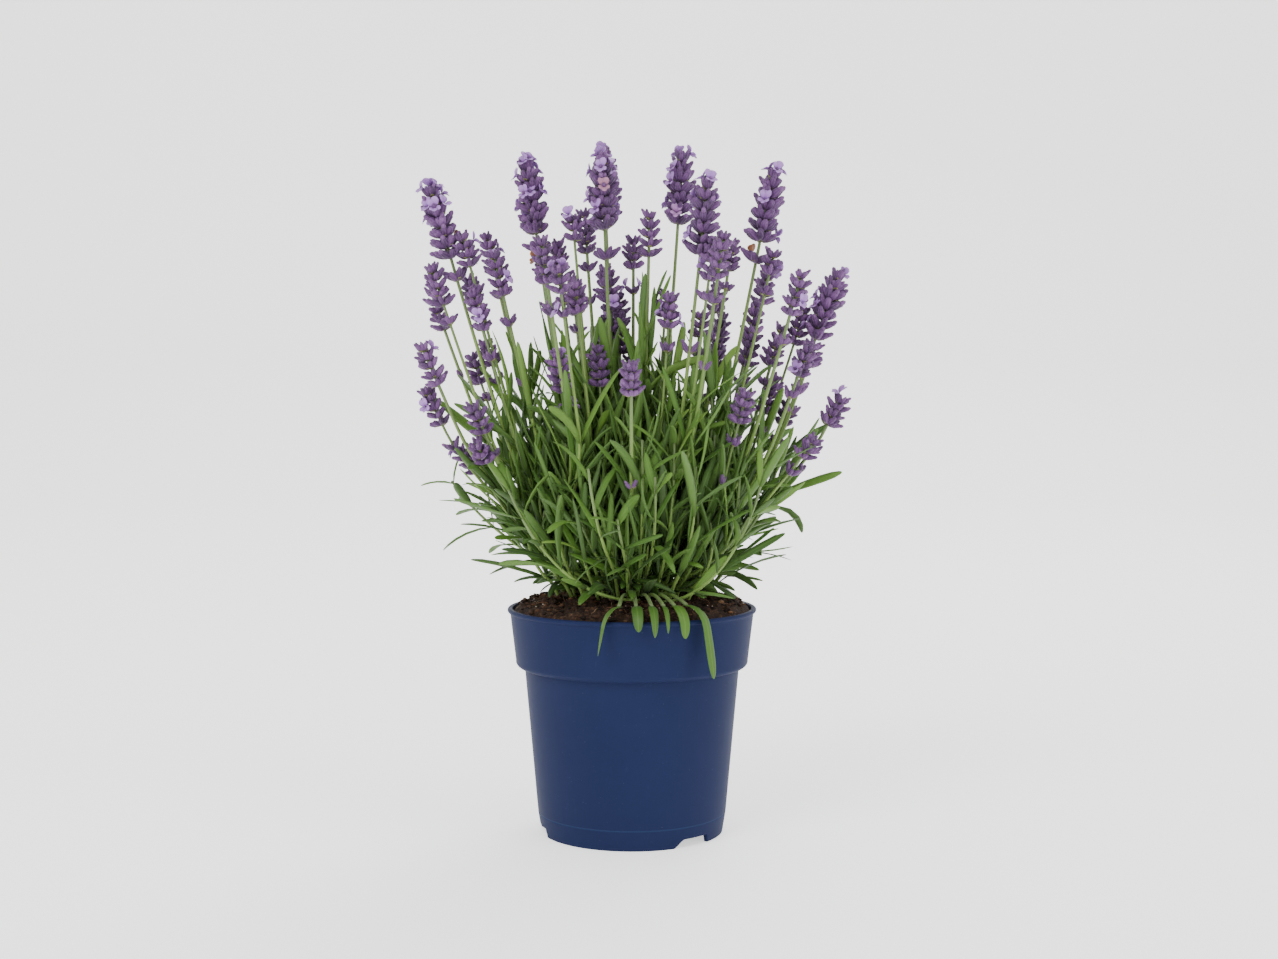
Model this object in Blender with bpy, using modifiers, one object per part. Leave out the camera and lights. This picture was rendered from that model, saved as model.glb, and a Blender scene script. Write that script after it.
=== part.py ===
"""Potted lavender: a nursery pot of soil, three rooted crowns, leafy branches and flower spikes.

Metres, +Z up. The origin is the middle of the pot's foot, on the surface that it stands on,
and the front is -Y. Every stem follows one widening flow from its crown, so stems keep apart.
"""
import math
import random

import bmesh
import bpy
import numpy as np
from mathutils import Matrix, Vector

# ---- Pot ----
POT_HEIGHT = 0.1175
RIM_RADIUS = 0.065
RIM_BEAD_HEIGHT = 0.0024
RIM_BEAD_DEPTH = 0.0014
BEAD_FILLET = 0.0002
BEAD_POINTS = 5
STEP_POINTS = 4
COLLAR_HEIGHT = 0.028
COLLAR_TAPER = 0.0029
STEP_WIDTH = 0.0045
STEP_DROP = 0.0032
WALL = 0.0012
FOOT_RADIUS = 0.0476
FOOT_RING_WIDTH = 0.0018
CREASE_HEIGHT = 0.0105
CREASE_RADIUS = 0.0493
CREASE_DEPTH = 0.0003
FLOOR_HEIGHT = 0.0058
POT_SIDES = 48
NOTCH_COUNT = 3
NOTCH_ANGLE = math.radians(-49)
NOTCH_WIDTH = 0.0215
NOTCH_HEIGHT = 0.0043
NOTCH_DEPTH = 0.014
DRAIN_COUNT = 6
DRAIN_RADIUS = 0.0042
DRAIN_RING_RADIUS = 0.028
DRAIN_SIDES = 12

# ---- Soil and crowns ----
FIT_GAP = 0.0003
WELD_DISTANCE = 0.00001
SOIL_BELOW_RIM = 0.0015
SOIL_CROWNING = 0.0085
SOIL_SIDES = 24
MOUND_POINTS = 5
CROWN_RADIUS = 0.014
CROWN_ABOVE_SOIL = 0.0025
CROWN_PEG_DEPTH = 0.014
CROWN_SHOULDER = 0.0025
CROWN_APART = 0.003
CROWN_SIDES = 10
SHOULDER_POINTS = 4

# ---- Stems ----
STEM_RADIUS = 0.0012
STEM_FOOT = 0.003
STEM_POINTS = 9
STEM_TAPER = 0.2
SIDE_SLIMNESS = 0.9
BASE_SHARE = 0.33
SPREAD_POWER = 0.8
REACH_ABOVE_RIM = 0.215
GATHERED = 0.42
GATHER_HEIGHT = 0.080
FORK_HEIGHT = 0.030
FORK_LENGTH = 0.034
SIDE_OFFSET = 0.020
SIDE_DROP = (0.012, 0.034)
GOLDEN_ANGLE = math.radians(137.5)
LEAN_ALLOWANCE = 1.35
SETTLING_ROUNDS = 300
SETTLING_PUSH = 0.26
SETTLING_LEVELS = 48

# ---- Leaves ----
LEAF_LENGTH = (0.022, 0.033)
LEAF_WIDTH = 0.0046
LEAF_THICKNESS = 0.0011
LEAF_SPACING = 0.019
LEAF_FIRST = 0.014
LEAFY_SHARE = 0.66
LEAF_RISE = math.radians(38)
LEAF_ARCH = 0.16
LEAF_CLEARANCE = 0.0012
LEAF_TWIST = 0.3
LEAF_SEAT = STEM_RADIUS / 3
RIM_MARGIN = 0.006
# Share along a leaf and share of its width, at each of its stations.
LEAF_STATIONS = ((0, 0.32), (0.45, 1.0), (0.8, 0.72), (1, 0.14))
# How finely stems, spikes and leaves are sampled to test that a leaf clears them.
STEM_SAMPLES = 90
SPIKE_SAMPLES = 12
LEAF_SAMPLES = np.linspace(0.2, 1.0, 9)
TANGENT_STEP = 0.004

# ---- Flower spikes: length, radius and number of whorls of each head ----
HEADS = {
    "bloom": (0.037, 0.0074, 6),
    "mature": (0.023, 0.0052, 5),
    "young": (0.016, 0.0042, 4),
}
SPIKE_SIDES = 6
SPIKE_CLEARANCE = 0.0014
WHORL_PINCH = 0.72
# A whorl swells from SWELL_LEAST of the full radius, as the half sine of a shifted share along.
SWELL_LEAST = 0.62
SWELL_SHIFT = 0.25
SWELL_RATE = 0.85
SEED = 7

# Where each crown's stems centre at full spread, so that the crowns clear each other in the soil.
CROWN_REACH = (2 * CROWN_RADIUS + CROWN_APART) / BASE_SHARE
CROWN_AIMS = {
    "crown_left": (-CROWN_REACH, 0.0),
    "crown_middle": (0.0, 0.0),
    "crown_right": (CROWN_REACH, 0.0),
}

# Where each branch's leading stem ends, across, deep and above the rim, with its head and its side
# stem's head.
BRANCHES = (
    (-0.090, -0.015, 0.180, "bloom", "mature"),
    (-0.075, 0.035, 0.175, "mature", "young"),
    (-0.050, 0.010, 0.195, "bloom", "young"),
    (-0.040, -0.045, 0.165, "mature", "young"),
    (-0.100, 0.025, 0.145, "mature", None),
    (-0.095, -0.035, 0.115, "mature", "young"),
    (-0.085, 0.005, 0.070, "young", None),
    (-0.015, 0.035, 0.205, "bloom", "mature"),
    (-0.010, -0.010, 0.195, "bloom", "mature"),
    (0.020, 0.010, 0.200, "bloom", "young"),
    (0.035, -0.040, 0.180, "bloom", "mature"),
    (0.045, 0.045, 0.155, "young", "mature"),
    (0.000, -0.075, 0.110, "young", None),
    (-0.030, 0.075, 0.155, "mature", "young"),
    (0.065, 0.000, 0.190, "bloom", "young"),
    (0.070, 0.055, 0.160, "mature", "mature"),
    (0.080, -0.040, 0.150, "mature", "young"),
    (0.095, 0.015, 0.140, "bloom", "mature"),
    (0.100, -0.015, 0.095, "young", None),
)


def crown_top():
    """Height of the crowns' level tops, where the stems start."""
    return POT_HEIGHT - SOIL_BELOW_RIM + SOIL_CROWNING + CROWN_ABOVE_SOIL


def foot_height():
    """Height of the top of the leading stems' upright feet, where the flow starts."""
    return crown_top() + FIT_GAP + STEM_FOOT


def spread(height):
    """Share of the full width that the flow of stems has reached at a height."""
    rise = np.clip((height - foot_height()) / (POT_HEIGHT + REACH_ABOVE_RIM - foot_height()), 0, None)
    return BASE_SHARE + (1 - BASE_SHARE) * rise ** SPREAD_POWER


def foot_share(distance):
    """How far out a stem stands, as a share of its distance from the crown's middle further up.

    It is GATHERED for a near stem and less for a far one, so that each stands on the level top.
    """
    level = (CROWN_RADIUS - CROWN_SHOULDER) * math.cos(math.pi / CROWN_SIDES) - STEM_RADIUS
    stretch = BASE_SHARE * np.maximum(distance, FIT_GAP)
    return level * np.tanh(GATHERED * stretch / level) / stretch


def gather(height, distance):
    """How far a stem has left the middle of its crown: its foot's share low down, 1 higher up."""
    rise = np.clip((height - foot_height()) / GATHER_HEIGHT, 0, 1)
    foot = foot_share(distance)
    return foot + (1 - foot) * rise * rise * (3 - 2 * rise)


def plan_stems():
    """Every leading stem and its side stem, each with its crown and its aim at full spread."""
    rng = random.Random(SEED)
    stems = []
    for branch, (across, deep, above_rim, lead_head, side_head) in enumerate(BRANCHES):
        high = POT_HEIGHT + above_rim
        aim = np.array((across, deep)) / spread(high)
        crown = min(CROWN_AIMS, key=lambda name: np.hypot(*(aim - CROWN_AIMS[name])))
        stems.append({"branch": branch, "crown": crown, "aim": aim, "end": high, "head": lead_head})
        if side_head:
            turn = branch * GOLDEN_ANGLE
            side = aim + SIDE_OFFSET * np.array((math.cos(turn), math.sin(turn)))
            end = high - rng.uniform(*SIDE_DROP)
            stems.append({"branch": branch, "crown": crown, "aim": side, "end": end, "head": side_head})
    return stems


def girth(stem, heights):
    """Radius that a stem and its spike need at each height, and minus 1 m above the spike's tip."""
    length, radius, _ = HEADS[stem["head"]]
    wide = np.where(heights < stem["end"] - radius, STEM_RADIUS, radius)
    return np.where(heights > stem["end"] + length + radius, -1.0, wide)


def part_stems(stems):
    """Pushes the aims of crowded stems apart, until each pair clears at every height they share."""
    tallest = max(stem["end"] + HEADS[stem["head"]][0] for stem in stems)
    heights = np.linspace(POT_HEIGHT + FORK_HEIGHT, tallest, SETTLING_LEVELS)
    aims = np.array([stem["aim"] for stem in stems])
    girths = [girth(stem, heights) for stem in stems]
    needed = {}
    for i, first in enumerate(stems):
        for j in range(i + 1, len(stems)):
            close = gather(heights, 0) if first["crown"] == stems[j]["crown"] else 1.0
            wanted = (girths[i] + girths[j] + SPIKE_CLEARANCE) / (spread(heights) * close)
            needed[i, j] = LEAN_ALLOWANCE * wanted.max()
    for _ in range(SETTLING_ROUNDS):
        for (i, j), wanted in needed.items():
            apart = aims[j] - aims[i]
            distance = np.hypot(*apart)
            if distance < wanted:
                push = apart / max(distance, 1e-6) * (wanted - distance) * SETTLING_PUSH
                aims[i] -= push
                aims[j] += push
    for stem, aim in zip(stems, aims):
        stem["aim"] = aim


def stem_points(stem, lead, start, count):
    """Points up a stem: its crown's middle and its own aim, mixed by height, times the spread.

    A leading stem gets an upright foot, so that it ends level on its crown.
    """
    heights = np.linspace(start, stem["end"], count)
    rise = np.clip((heights - POT_HEIGHT - FORK_HEIGHT) / FORK_LENGTH, 0, 1)
    fork = (rise * rise * (3 - 2 * rise))[:, None]
    aims = lead["aim"] + (stem["aim"] - lead["aim"]) * fork
    middle = np.array(CROWN_AIMS[stem["crown"]])
    left = gather(heights, np.linalg.norm(aims - middle, axis=1))
    flat = spread(heights)[:, None] * (middle + (aims - middle) * left[:, None])
    points = np.column_stack((flat, heights))
    if stem is not lead:
        return points
    foot = points[:1] - (0, 0, STEM_FOOT)
    return np.concatenate((foot, points))


def new_object(name, mesh, material, collection):
    """An object of a mesh, in a collection, with its material."""
    obj = bpy.data.objects.new(name, mesh)
    if material:
        mesh.materials.append(material)
    collection.objects.link(obj)
    return obj


def make_material(name, colour, roughness):
    """A Principled material."""
    material = bpy.data.materials.new(name)
    material.use_nodes = True
    shader = material.node_tree.nodes["Principled BSDF"]
    shader.inputs["Base Color"].default_value = (*colour, 1)
    shader.inputs["Roughness"].default_value = roughness
    shader.inputs["Metallic"].default_value = 0
    return material


def turned(name, profile, sides, material, collection):
    """A solid turned from a profile of (radius, height) points, which runs down its outer side."""
    mesh = bpy.data.meshes.new(name)
    points = [(radius, 0, height) for radius, height in profile]
    mesh.from_pydata(points, [(i, i + 1) for i in range(len(points) - 1)], [])
    obj = new_object(name, mesh, material, collection)
    screw = obj.modifiers.new("Turn", "SCREW")
    screw.steps = sides
    screw.render_steps = sides
    screw.use_merge_vertices = True
    screw.merge_threshold = WELD_DISTANCE
    return obj


def tube(points, radius):
    """A mesh of a square tube along points, tapering a little to its far end."""
    curve = bpy.data.curves.new("tube", "CURVE")
    curve.dimensions = "3D"
    curve.bevel_depth = radius
    curve.bevel_resolution = 0
    curve.use_fill_caps = True
    spline = curve.splines.new("POLY")
    spline.points.add(len(points) - 1)
    for i, (target, point) in enumerate(zip(spline.points, points)):
        target.co = (*point, 1)
        target.radius = 1 - STEM_TAPER * i / (len(points) - 1)
    return curve_mesh(curve)


def curve_mesh(curve):
    """The mesh of a curve, with its caps welded on."""
    holder = bpy.data.objects.new("curve", curve)
    bpy.context.scene.collection.objects.link(holder)
    evaluated = holder.evaluated_get(bpy.context.evaluated_depsgraph_get())
    mesh = bpy.data.meshes.new_from_object(evaluated)
    bpy.data.objects.remove(holder)
    shape = bmesh.new()
    shape.from_mesh(mesh)
    bmesh.ops.remove_doubles(shape, verts=shape.verts, dist=WELD_DISTANCE)
    shape.to_mesh(mesh)
    shape.free()
    return mesh


def leaf_template():
    """A leaf one unit long, wide and thick: a tapered square tube along +X, to be scaled."""
    curve = bpy.data.curves.new("leaf", "CURVE")
    curve.dimensions = "3D"
    curve.bevel_depth = 0.5
    curve.bevel_resolution = 0
    curve.use_fill_caps = True
    spline = curve.splines.new("POLY")
    spline.points.add(len(LEAF_STATIONS) - 1)
    for target, (along, wide) in zip(spline.points, LEAF_STATIONS):
        target.co = (along, 0, 0, 1)
        target.radius = wide
    return curve_mesh(curve)


def leaf_arch(along, length):
    """How far a leaf's midline has sunk below its straight line."""
    return -LEAF_ARCH * length * along * along


def leaf_frame(base, axis, side):
    """A leaf's frame at its stem: along it, across it and through it, seated off the stem's middle."""
    forward = (axis * math.cos(LEAF_RISE) + side * math.sin(LEAF_RISE)).normalized()
    across = axis.cross(side).normalized()
    through = forward.cross(across)
    frame = Matrix((forward, across, through)).transposed().to_4x4()
    return Matrix.Translation(base + side * LEAF_SEAT) @ frame


def plan_leaves(stems, paths, starts):
    """Opposite pairs of leaves up each stem, each pair turned a quarter, kept where they clear."""
    rng = random.Random(SEED + 1)
    solid_points = []
    solid_radii = []
    solid_owner = []
    for number, (stem, path) in enumerate(zip(stems, paths)):
        steps = np.linspace(0, len(path) - 1, STEM_SAMPLES)
        dense = np.column_stack([np.interp(steps, range(len(path)), path[:, k]) for k in range(3)])
        length, radius, _ = HEADS[stem["head"]]
        lean = path[-1] - path[-2]
        lean = lean / np.linalg.norm(lean)
        head = path[-1] + lean * np.linspace(0, length, SPIKE_SAMPLES)[:, None]
        solid_points += [dense, head]
        solid_radii += [np.full(len(dense), STEM_RADIUS), np.full(len(head), radius)]
        solid_owner += [np.full(len(dense), number), np.full(len(head), -1)]
    solid_points = np.concatenate(solid_points)
    solid_radii = np.concatenate(solid_radii)
    solid_owner = np.concatenate(solid_owner)
    kept = []
    kept_points = np.empty((0, 3))
    for number, (stem, path) in enumerate(zip(stems, paths)):
        top = starts[number] + (stem["end"] - starts[number]) * LEAFY_SHARE
        turn = rng.uniform(0, math.pi)
        for height in np.arange(starts[number] + LEAF_FIRST, top, LEAF_SPACING):
            turn += math.pi / 2 + rng.uniform(-LEAF_TWIST, LEAF_TWIST)
            base = Vector([np.interp(height, path[:, 2], path[:, k]) for k in range(3)])
            above = Vector([np.interp(height + TANGENT_STEP, path[:, 2], path[:, k]) for k in range(3)])
            axis = (above - base).normalized()
            for half in (0, math.pi):
                length = rng.uniform(*LEAF_LENGTH)
                flat = Vector((math.cos(turn + half), math.sin(turn + half), 0))
                side = (flat - axis * flat.dot(axis)).normalized()
                frame = leaf_frame(base, axis, side)
                line = [frame @ Vector((t * length, 0, -leaf_arch(t, length))) for t in LEAF_SAMPLES]
                line = np.array(line)
                if not leaf_clears(line, number, solid_points, solid_radii, solid_owner, kept_points):
                    continue
                kept.append((stem["branch"], frame, length))
                kept_points = np.concatenate((kept_points, line))
    return kept


def leaf_clears(line, number, points, radii, owner, others):
    """Whether a leaf's midline is clear of the pot, the other stems and spikes, and the other leaves."""
    half = LEAF_WIDTH / 2 + LEAF_CLEARANCE
    outward = np.hypot(line[:, 0], line[:, 1])
    over_rim = outward > RIM_RADIUS - RIM_MARGIN
    low = line[:, 2] < np.where(over_rim, POT_HEIGHT + half, POT_HEIGHT + SOIL_CROWNING)
    if low.any():
        return False
    foreign = owner != number
    gaps = np.linalg.norm(line[:, None] - points[foreign], axis=2) - radii[foreign]
    if gaps.min() < half:
        return False
    if len(others) == 0:
        return True
    return np.linalg.norm(line[:, None] - others, axis=2).min() > 2 * half


def leaves_mesh(template, leaves):
    """One mesh of separate leaves, each the template scaled, arched and placed."""
    shape = bmesh.new()
    for frame, length in leaves:
        before = len(shape.verts)
        shape.from_mesh(template)
        shape.verts.ensure_lookup_table()
        for vert in shape.verts[before:]:
            along, across, through = vert.co
            lift = -leaf_arch(along, length)
            placed = Vector((along * length, across * LEAF_WIDTH, through * LEAF_THICKNESS + lift))
            vert.co = frame @ placed
    mesh = bpy.data.meshes.new("leaves")
    shape.to_mesh(mesh)
    shape.free()
    return mesh


def combine(obj, cutter, operation):
    """A Boolean modifier, EXACT, with a cutter that isn't part of the model."""
    boolean = obj.modifiers.new(operation.title(), "BOOLEAN")
    boolean.operation = operation
    boolean.solver = "EXACT"
    boolean.use_self = operation == "UNION"
    boolean.object = cutter
    cutter.hide_render = True
    cutter.display_type = "WIRE"


def cylinder(name, radius, low, high, centre, sides, cutters):
    """A plain upright cylinder to cut with."""
    shape = bmesh.new()
    move = Matrix.Translation((*centre, (low + high) / 2))
    bmesh.ops.create_cone(shape, cap_ends=True, segments=sides, radius1=radius, radius2=radius,
                          depth=high - low, matrix=move)
    mesh = bpy.data.meshes.new(name)
    shape.to_mesh(mesh)
    shape.free()
    return new_object(name, mesh, None, cutters)


def wall_radius(height):
    """Inner radius of the pot's body below the step, at a height."""
    body_top = POT_HEIGHT - COLLAR_HEIGHT - STEP_DROP
    top_radius = body_radius() - WALL
    share = (height - CREASE_HEIGHT) / (body_top - CREASE_HEIGHT)
    return CREASE_RADIUS - WALL + (top_radius - CREASE_RADIUS + WALL) * share


def lip_radius():
    """Outer radius of the collar just under the rim's bead."""
    return RIM_RADIUS - RIM_BEAD_DEPTH


def body_radius():
    """Outer radius of the body just under the step."""
    return lip_radius() - COLLAR_TAPER - STEP_WIDTH


def make_pot(material, parts, cutters):
    """The pot: one turned wall with a raised floor, then the foot's notches and the drain holes."""
    collar_low = POT_HEIGHT - COLLAR_HEIGHT
    body_top = collar_low - STEP_DROP
    collar = lip_radius() - COLLAR_TAPER
    half = RIM_BEAD_HEIGHT / 2
    bead = [(RIM_RADIUS - half + half * math.sin(a), POT_HEIGHT - half + half * math.cos(a))
            for a in np.linspace(0, math.pi, BEAD_POINTS)]
    step = [(body_radius() + STEP_WIDTH * math.cos(a), body_top + STEP_DROP * (1 - math.sin(a)))
            for a in np.linspace(0, math.pi / 2, STEP_POINTS)]
    floor_top = FLOOR_HEIGHT + WALL
    profile = [(0, floor_top), (wall_radius(floor_top), floor_top)]
    profile += [(wall_radius(body_top), body_top)]
    profile += [(collar - WALL, collar_low + WALL), (lip_radius() - WALL, POT_HEIGHT)]
    profile += bead
    profile += [(lip_radius(), POT_HEIGHT - RIM_BEAD_HEIGHT - BEAD_FILLET), (collar, collar_low)]
    profile += step[1:]
    profile += [(CREASE_RADIUS, CREASE_HEIGHT + CREASE_DEPTH), (CREASE_RADIUS - CREASE_DEPTH, CREASE_HEIGHT)]
    profile += [(CREASE_RADIUS, CREASE_HEIGHT - CREASE_DEPTH), (FOOT_RADIUS, 0)]
    profile += [(FOOT_RADIUS - FOOT_RING_WIDTH, 0), (FOOT_RADIUS - FOOT_RING_WIDTH, FLOOR_HEIGHT)]
    profile += [(0, FLOOR_HEIGHT)]
    pot = turned("pot", profile, POT_SIDES, material, parts)
    for number in range(NOTCH_COUNT):
        angle = NOTCH_ANGLE + number * math.tau / NOTCH_COUNT
        shape = bmesh.new()
        bmesh.ops.create_cube(shape, size=1)
        stretch = Matrix.Diagonal((NOTCH_DEPTH, NOTCH_WIDTH, 2 * NOTCH_HEIGHT, 1))
        place = Matrix.Rotation(angle, 4, "Z") @ Matrix.Translation((FOOT_RADIUS, 0, 0))
        bmesh.ops.transform(shape, matrix=place @ stretch, verts=shape.verts)
        mesh = bpy.data.meshes.new("notch")
        shape.to_mesh(mesh)
        shape.free()
        combine(pot, new_object(f"notch_{number + 1}", mesh, None, cutters), "DIFFERENCE")
    for number in range(DRAIN_COUNT):
        angle = (number + 0.5) * math.tau / DRAIN_COUNT
        centre = (DRAIN_RING_RADIUS * math.cos(angle), DRAIN_RING_RADIUS * math.sin(angle))
        low, high = FLOOR_HEIGHT - WALL, FLOOR_HEIGHT + 2 * WALL
        drain = cylinder(f"drain_{number + 1}", DRAIN_RADIUS, low, high, centre, DRAIN_SIDES, cutters)
        combine(pot, drain, "DIFFERENCE")


def crown_centre(name):
    """Where a crown stands in the soil."""
    return np.array(CROWN_AIMS[name]) * BASE_SHARE


def make_soil(material, parts, cutters):
    """The soil: turned to fit inside the pot, with a socket for each crown."""
    low = FLOOR_HEIGHT + WALL + FIT_GAP
    body_top = POT_HEIGHT - COLLAR_HEIGHT - STEP_DROP
    edge = POT_HEIGHT - SOIL_BELOW_RIM
    collar = lip_radius() - COLLAR_TAPER - WALL
    lip = lip_radius() - WALL
    share = (edge - body_top - STEP_DROP - WALL) / (COLLAR_HEIGHT - WALL)
    edge_radius = collar + (lip - collar) * share
    mound = [(edge_radius * math.sin(a), edge + SOIL_CROWNING * math.cos(a))
             for a in np.linspace(0, math.pi / 2, MOUND_POINTS)]
    profile = [(max(radius - 2 * FIT_GAP, 0), height) for radius, height in mound]
    profile += [(collar - 2 * FIT_GAP, body_top + STEP_DROP + WALL)]
    profile += [(wall_radius(body_top) - 2 * FIT_GAP, body_top)]
    profile += [(wall_radius(low) - 2 * FIT_GAP, low), (0, low)]
    soil = turned("potting_soil", profile, SOIL_SIDES, material, parts)
    for name in CROWN_AIMS:
        bottom = crown_top() - CROWN_ABOVE_SOIL - CROWN_PEG_DEPTH - FIT_GAP
        socket = cylinder(f"socket_{name}", CROWN_RADIUS + 2 * FIT_GAP, bottom, crown_top(),
                          crown_centre(name), CROWN_SIDES * 2, cutters)
        combine(soil, socket, "DIFFERENCE")


def make_crowns(material, parts):
    """The crowns: level-topped woody stubs with a rounded shoulder, pegged into the soil."""
    top = crown_top()
    low = top - CROWN_ABOVE_SOIL - CROWN_PEG_DEPTH
    inner = CROWN_RADIUS - CROWN_SHOULDER
    shoulder = [(inner + CROWN_SHOULDER * math.sin(a), top - CROWN_SHOULDER * (1 - math.cos(a)))
                for a in np.linspace(0, math.pi / 2, SHOULDER_POINTS)]
    profile = [(0, top)] + shoulder + [(CROWN_RADIUS, low), (0, low)]
    for name in CROWN_AIMS:
        crown = turned(name, profile, CROWN_SIDES, material, parts)
        crown.location = (*crown_centre(name), 0)


def make_branches(stems, paths, leaves, material, parts, cutters):
    """The branches: a leading stem, its side stem and their leaves, united."""
    template = leaf_template()
    for branch in range(len(BRANCHES)):
        own = [i for i, stem in enumerate(stems) if stem["branch"] == branch]
        name = f"branch_{branch + 1:02d}"
        obj = new_object(name, tube(paths[own[0]], STEM_RADIUS), material, parts)
        for i in own[1:]:
            mesh = tube(paths[i], STEM_RADIUS * SIDE_SLIMNESS)
            combine(obj, new_object(f"{name}_side", mesh, None, cutters), "UNION")
        grown = [(frame, length) for owner, frame, length in leaves if owner == branch]
        if grown:
            mesh = leaves_mesh(template, grown)
            combine(obj, new_object(f"{name}_leaves", mesh, None, cutters), "UNION")


def spike_profile(head):
    """Outline of a spike: whorls that swell and pinch, under a rounded tip."""
    length, radius, whorls = HEADS[head]
    profile = [(0, length)]
    for whorl in reversed(range(whorls)):
        share = (whorl + 0.5) / whorls
        phase = math.pi * min(1, SWELL_SHIFT + share * SWELL_RATE)
        swell = radius * (SWELL_LEAST + (1 - SWELL_LEAST) * math.sin(phase))
        profile += [(swell, length * share), (swell * WHORL_PINCH, length * whorl / whorls + FIT_GAP)]
    profile += [(STEM_RADIUS, 0), (0, 0)]
    return profile


def make_spikes(stems, paths, material, parts):
    """A spike on each stem's end, leaning the way the stem does."""
    for number, (stem, path) in enumerate(zip(stems, paths)):
        lean = Vector(path[-1] - path[-2]).normalized()
        name = f"flower_spike_{number + 1:02d}"
        spike = turned(name, spike_profile(stem["head"]), SPIKE_SIDES, material, parts)
        spike.rotation_euler = lean.to_track_quat("Z", "Y").to_euler()
        spike.location = Vector(path[-1]) + lean * FIT_GAP


def main():
    for obj in list(bpy.data.objects):
        bpy.data.objects.remove(obj)
    parts = bpy.data.collections.new("potted_lavender")
    cutters = bpy.data.collections.new("cutters")
    bpy.context.scene.collection.children.link(parts)
    bpy.context.scene.collection.children.link(cutters)

    plastic = make_material("navy_plastic", (0.028, 0.044, 0.125), 0.42)
    soil = make_material("potting_soil", (0.028, 0.017, 0.010), 0.95)
    wood = make_material("crown_wood", (0.16, 0.10, 0.055), 0.85)
    foliage = make_material("foliage", (0.07, 0.18, 0.035), 0.55)
    flower = make_material("flower", (0.11, 0.05, 0.20), 0.75)

    make_pot(plastic, parts, cutters)
    make_soil(soil, parts, cutters)
    make_crowns(wood, parts)

    stems = plan_stems()
    part_stems(stems)
    leads = {}
    paths = []
    starts = []
    for stem in stems:
        lead = leads.setdefault(stem["branch"], stem)
        base = foot_height() if lead is stem else POT_HEIGHT + FORK_HEIGHT
        starts.append(base)
        paths.append(stem_points(stem, lead, base, STEM_POINTS))
    leaves = plan_leaves(stems, paths, starts)
    make_branches(stems, paths, leaves, foliage, parts, cutters)
    make_spikes(stems, paths, flower, parts)


main()
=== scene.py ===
import math

import bmesh
import bpy
import numpy as np
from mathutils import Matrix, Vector


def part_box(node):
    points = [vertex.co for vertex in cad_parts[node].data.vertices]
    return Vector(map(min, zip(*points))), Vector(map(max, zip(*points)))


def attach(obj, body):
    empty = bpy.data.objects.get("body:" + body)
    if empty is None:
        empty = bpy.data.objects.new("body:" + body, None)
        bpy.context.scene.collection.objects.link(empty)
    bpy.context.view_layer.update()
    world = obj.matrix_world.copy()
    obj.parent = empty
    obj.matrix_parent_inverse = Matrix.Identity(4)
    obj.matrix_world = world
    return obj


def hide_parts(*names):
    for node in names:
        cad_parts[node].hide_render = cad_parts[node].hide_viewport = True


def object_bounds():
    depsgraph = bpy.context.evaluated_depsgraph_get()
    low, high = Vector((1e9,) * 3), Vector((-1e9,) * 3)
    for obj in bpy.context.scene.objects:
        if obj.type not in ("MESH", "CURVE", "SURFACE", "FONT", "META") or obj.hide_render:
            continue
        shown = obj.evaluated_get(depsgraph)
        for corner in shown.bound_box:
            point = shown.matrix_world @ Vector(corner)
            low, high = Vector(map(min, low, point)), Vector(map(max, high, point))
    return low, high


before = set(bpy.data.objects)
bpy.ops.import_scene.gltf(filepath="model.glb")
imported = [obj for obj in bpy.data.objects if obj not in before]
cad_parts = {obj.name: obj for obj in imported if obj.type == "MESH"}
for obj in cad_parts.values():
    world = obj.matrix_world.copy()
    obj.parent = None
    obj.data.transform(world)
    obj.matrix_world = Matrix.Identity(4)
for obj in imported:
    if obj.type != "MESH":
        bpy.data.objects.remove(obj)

CAD_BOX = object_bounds()
RNG = np.random.default_rng(11)

# ---- The pot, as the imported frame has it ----
POT_LOW, POT_HIGH = (np.array(corner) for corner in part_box("pot"))
POT_HEIGHT = POT_HIGH[2]
RIM_RADIUS = POT_HIGH[0]
BEAD = 0.0024
BEAD_DEPTH = 0.0014
COLLAR_HEIGHT = 0.028
COLLAR_TAPER = 0.0029
STEP_WIDTH = 0.0045
STEP_DROP = 0.0032
WALL = 0.0012
FOOT_RADIUS = 0.0476
FOOT_RING = 0.0018
CREASE_HEIGHT = 0.0105
CREASE_RADIUS = 0.0493
CREASE_DEPTH = 0.00015
FLOOR_HEIGHT = 0.0058
NOTCHES = 3
NOTCH_ANGLE = math.radians(-49)
NOTCH_HALF = math.radians(13)
NOTCH_HEIGHT = 0.0043
NOTCH_SLOPE = math.radians(8)
NOTCH_SLOPE_START = math.radians(2)
NOTCH_END = math.radians(1.3)
DRAINS = 6
DRAIN_RADIUS = 0.0042
DRAIN_RING = 0.028

# ---- The flow of the stems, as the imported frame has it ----
SOIL_EDGE = POT_HEIGHT - 0.0015
SOIL_CROWNING = 0.0090
SOIL_RADIUS = 0.0615
SOIL_GAP = 0.0005
LEAF_REACH = 0.010
BASE_SHARE = 0.33
SPREAD_POWER = 0.8
REACH_ABOVE_RIM = 0.215
GATHERED = 0.42
GATHER_HEIGHT = 0.080
FORK_HEIGHT = 0.030
FORK_LENGTH = 0.034
STEM_RADIUS = 0.00108
CROWNS = ("crown_left", "crown_middle", "crown_right")
CROWN_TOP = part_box("crown_middle")[1].z
CROWN_LEVEL = 0.0097
FOOT_HEIGHT = CROWN_TOP + 0.0033
LONE_BRANCHES = (5, 7, 13, 19)
BRANCH_COUNT = 19
ROOT = "root"
WELD = 1e-6
GOLDEN_TURN = math.radians(137.5)
PATH_POINTS = 17
SHARES = np.linspace(0, 1, PATH_POINTS)

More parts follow.
